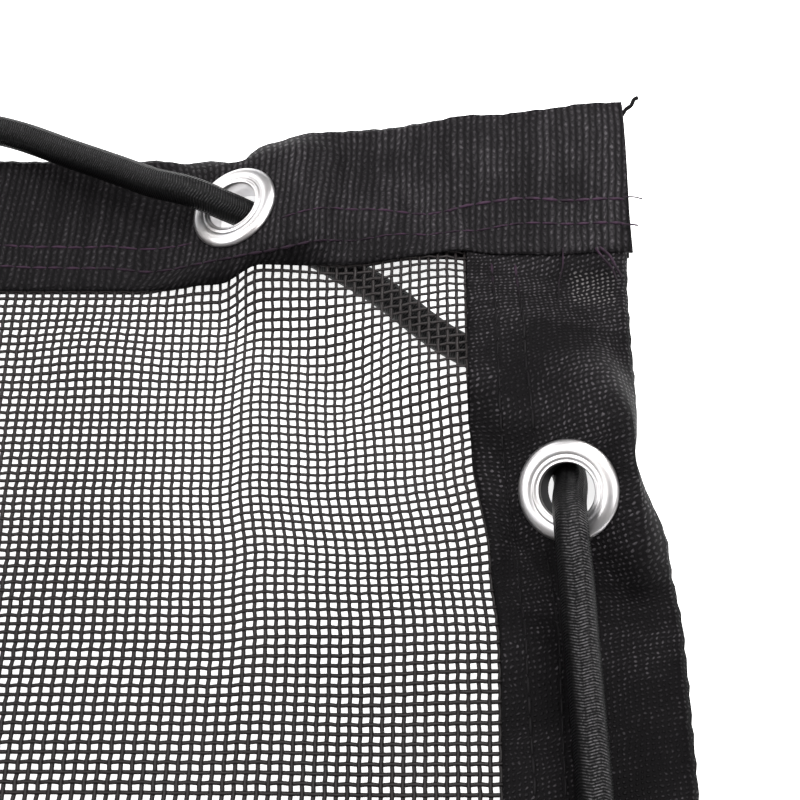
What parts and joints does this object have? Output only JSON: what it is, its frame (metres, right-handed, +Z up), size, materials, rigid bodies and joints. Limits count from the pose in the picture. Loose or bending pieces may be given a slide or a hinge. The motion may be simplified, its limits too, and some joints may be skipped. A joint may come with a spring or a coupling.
{
  "type": "safety net with laced elastic cord",
  "caption": "Small rectangular safety net of open square mesh, edged with a folded woven binding, with metal eyelets and an elastic cord laced through them.",
  "frame": {"origin": "below the middle of the net, on the surface that it lies on", "axes": "+X along the net's length, +Y across it, +Z up off the surface, out of the net's front"},
  "size_m": [0.4548, 0.3054, 0.0218],
  "materials": {
    "mesh": "satin coated yarn",
    "binding": "woven, semi-matt",
    "nickel": "bright nickel plating",
    "elastic": "braided, satin"
  },
  "bodies": {
    "root": {"mesh_panel": "mesh", "binding_top": "binding", "binding_bottom": "binding", "binding_right": "binding", "binding_left": "binding", "eyelet_top_left": "nickel", "washer_top_left": "nickel", "eyelet_top_middle": "nickel", "washer_top_middle": "nickel", "eyelet_top_right": "nickel", "washer_top_right": "nickel", "eyelet_right_upper": "nickel", "washer_right_upper": "nickel", "eyelet_right_lower": "nickel", "washer_right_lower": "nickel", "eyelet_bottom_right": "nickel", "washer_bottom_right": "nickel", "eyelet_bottom_middle": "nickel", "washer_bottom_middle": "nickel", "eyelet_bottom_left": "nickel", "washer_bottom_left": "nickel", "eyelet_left_lower": "nickel", "washer_left_lower": "nickel", "eyelet_left_upper": "nickel", "washer_left_upper": "nickel", "cord": "elastic", "knot_bottom_middle": "elastic", "knot_bottom_right": "elastic"}
  },
  "joints": []
}
